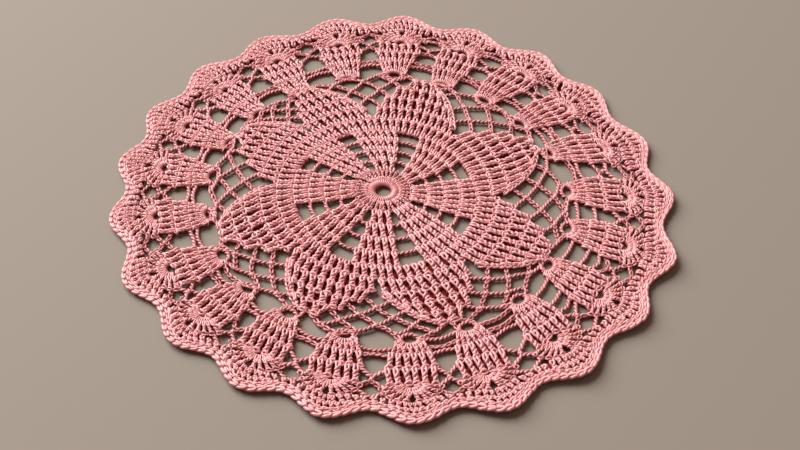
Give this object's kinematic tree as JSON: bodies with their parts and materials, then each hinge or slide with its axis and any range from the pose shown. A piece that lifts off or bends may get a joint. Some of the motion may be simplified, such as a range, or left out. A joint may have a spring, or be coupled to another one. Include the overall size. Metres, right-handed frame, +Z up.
{
  "type": "lace doily",
  "caption": "Round crochet lace doily lying flat: an eye ring, a star of petals with ladder windows, a chain net, and fans that end in a scalloped rim.",
  "frame": {"origin": "middle of the doily's outline, on the surface it lies on", "axes": "+Z up out of the surface; +X to the right and +Y away, seen from the usual viewing side"},
  "size_m": [0.2504, 0.252, 0.0042],
  "materials": {
    "cotton_thread": "mercerised cotton with a soft sheen"
  },
  "bodies": {
    "root": {"doily": "cotton_thread"}
  },
  "joints": []
}
